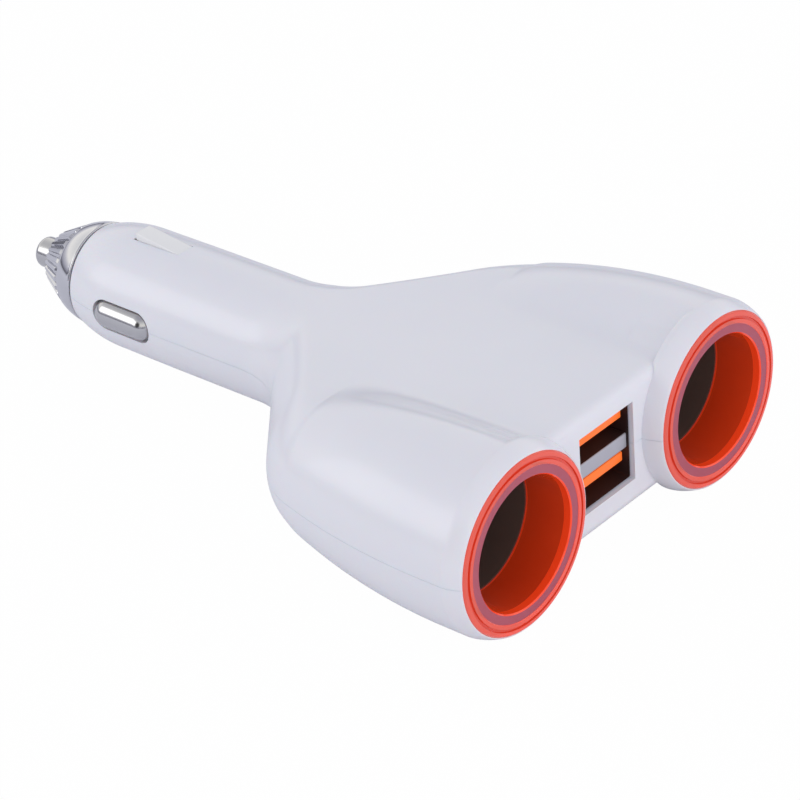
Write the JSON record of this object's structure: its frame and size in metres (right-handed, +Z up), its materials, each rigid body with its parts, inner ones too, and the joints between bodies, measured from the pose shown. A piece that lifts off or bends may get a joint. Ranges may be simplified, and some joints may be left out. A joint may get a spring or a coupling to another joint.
{
  "type": "car usb charger plug",
  "caption": "Car lighter plug whose white moulded body spreads into lighter sockets with translucent orange rings, with stacked USB ports between them.",
  "frame": {"origin": "on the plug's axis, where the barrel meets the body", "axes": "+Y along the plug towards its tip, +Z up through the latch, the sockets open towards -Y"},
  "size_m": [0.0792, 0.1229, 0.0312],
  "materials": {
    "housing": "glossy moulded white",
    "chrome": "polished plating",
    "nickel": "nickel plating",
    "clear_glass": "clear",
    "spring_steel": "drawn wire",
    "contact_brass": "bright",
    "ring": "translucent orange",
    "socket_steel": "dark drawn steel",
    "bush": "hard paper brown",
    "board": "solder resist",
    "usb_steel": "satin plated",
    "usb_tongue": "moulded orange",
    "ferrite": "matt grey",
    "copper": "enamelled copper",
    "capacitor_can": "satin",
    "chip": "matt black",
    "lamp": "ivory",
    "screw_steel": "zinc plated",
    "lead_red": "soft insulation",
    "lead_black": "soft insulation"
  },
  "bodies": {
    "housing": {"housing_upper": "housing", "housing_lower": "housing", "tip_spring": "spring_steel", "spring_seat": "contact_brass", "light_ring_left": "ring", "light_ring_right": "ring", "socket_shell_left": "socket_steel", "socket_shell_right": "socket_steel", "socket_insulator_left": "bush", "socket_insulator_right": "bush", "socket_contact_left": "contact_brass", "socket_contact_right": "contact_brass", "circuit_board": "board", "usb_shell": "usb_steel", "usb_divider": "usb_steel", "usb_insulator": "usb_tongue", "usb_contacts": "contact_brass", "inductor_core": "ferrite", "inductor_coil": "copper", "capacitors": "capacitor_can", "converter_chips": "chip", "ring_leds": "lamp", "housing_screws": "screw_steel", "positive_leads": "lead_red", "ground_leads": "lead_black"},
    "cap": {"fuse_cap": "chrome"},
    "tip": {"tip_contact": "nickel", "fuse_glass": "clear_glass", "fuse_ends": "nickel"},
    "side_left": {"side_contact_left": "nickel"},
    "side_right": {"side_contact_right": "nickel"},
    "latch": {"barrel_latch": "housing"}
  },
  "joints": [
    {"name": "cap_off", "type": "slide", "parent": "housing", "child": "cap", "axis": [0, 1, 0], "range_m": [0, 0.03]},
    {"name": "tip_press", "type": "slide", "parent": "cap", "child": "tip", "axis": [0, -1, 0], "range_m": [0, 0.0025], "stiffness_N_per_m": 600, "deforming": ["tip_spring"]},
    {"name": "side_left_press", "type": "slide", "parent": "housing", "child": "side_left", "axis": [1, 0, 0], "range_m": [0, 0.0011], "stiffness_N_per_m": 500},
    {"name": "side_right_press", "type": "slide", "parent": "housing", "child": "side_right", "axis": [-1, 0, 0], "range_m": [0, 0.0011], "stiffness_N_per_m": 500},
    {"name": "latch_bend", "type": "hinge", "parent": "housing", "child": "latch", "pos_m": [0, 0.0255, 0.0095], "axis": [1, 0, 0], "range_deg": [-5.5, 0], "stiffness_Nm_per_rad": 0.06}
  ]
}
